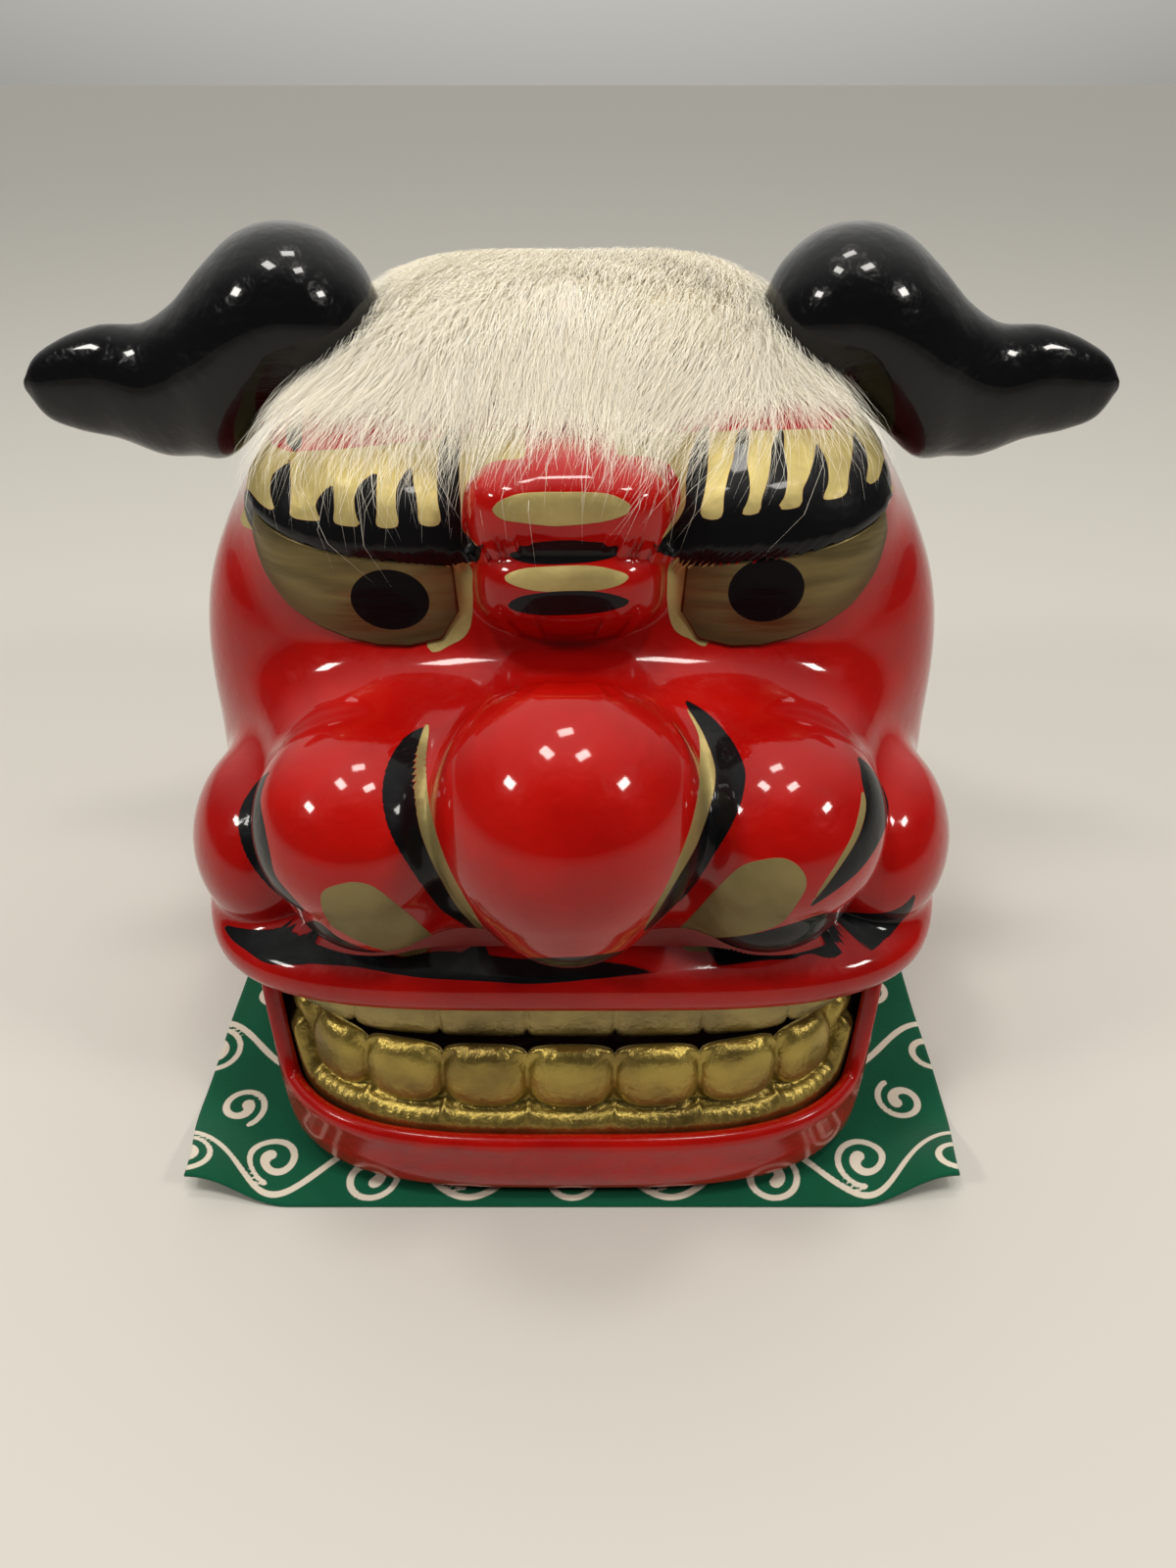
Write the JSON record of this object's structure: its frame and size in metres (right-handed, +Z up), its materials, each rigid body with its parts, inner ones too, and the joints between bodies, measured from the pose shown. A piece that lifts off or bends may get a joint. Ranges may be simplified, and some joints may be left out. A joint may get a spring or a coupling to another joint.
{
  "type": "lion dance head",
  "caption": "Hollow lacquered lion dance head in papier-mache with a hinged upper head, jaw, gilt teeth and eyes, ears, a fur crown and a cape cloth laid under the jaw",
  "frame": {"origin": "the middle of the cape cloth's underside, at the bottom centre of the whole head's box", "axes": "+X to the viewer's right as one faces the lion and the plane X = 0 is its plane of symmetry, -Y the way the face looks, +Z up"},
  "size_m": [0.4, 0.2698, 0.3066],
  "materials": {
    "red_lacquer": "papier-mache under glossy red lacquer",
    "gilt": "papier-mache under satin gold paint",
    "black_lacquer": "papier-mache under glossy black lacquer",
    "fur": "long straight cream fur on a woven backing",
    "rod_wood": "plain turned dowel",
    "cape_cloth": "plain woven cotton, green with a cream arabesque"
  },
  "bodies": {
    "jaw": {"lower_jaw": "red_lacquer", "lower_teeth": "gilt", "cape_cloth": "cape_cloth"},
    "head": {"upper_head": "red_lacquer", "upper_teeth": "gilt", "eye_left": "gilt", "eye_right": "gilt", "ear_left": "black_lacquer", "ear_right": "black_lacquer", "fur_patch": "fur", "hinge_rod": "rod_wood"}
  },
  "joints": [
    {"name": "jaw_hinge", "type": "hinge", "parent": "jaw", "child": "head", "pos_m": [0, 0.092, 0.097], "axis": [-1, 0, 0], "range_deg": [0, 28]}
  ]
}
